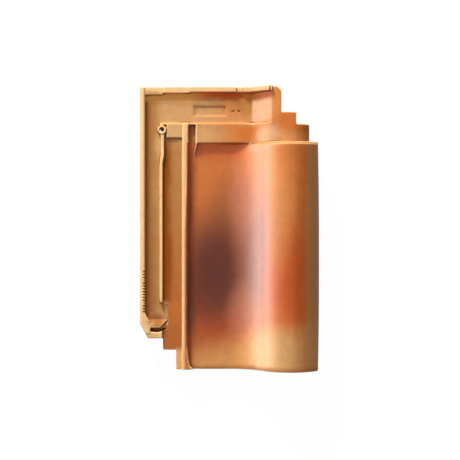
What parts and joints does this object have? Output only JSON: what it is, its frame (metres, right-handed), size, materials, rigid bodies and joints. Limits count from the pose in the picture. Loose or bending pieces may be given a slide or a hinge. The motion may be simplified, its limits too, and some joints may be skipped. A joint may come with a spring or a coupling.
{
  "type": "clay roof tile",
  "caption": "Pressed interlocking clay roof tile with a flat pan, a round cover roll, a ribbed side lock, a head lock with a rim, a nail hole and hanging lugs.",
  "frame": {"origin": "middle of the tile's footprint, on the floor that it lies on", "axes": "+X across the tile from the lock to the roll, +Y up the slope from the foot to the head, +Z out of the face"},
  "size_m": [0.282, 0.445, 0.062],
  "materials": {
    "fired_clay": "fired clay with a satin engobe flashed from orange to brown on the pan and roll, bare ochre clay in the locks"
  },
  "bodies": {
    "root": {"roof_tile": "fired_clay"}
  },
  "joints": []
}
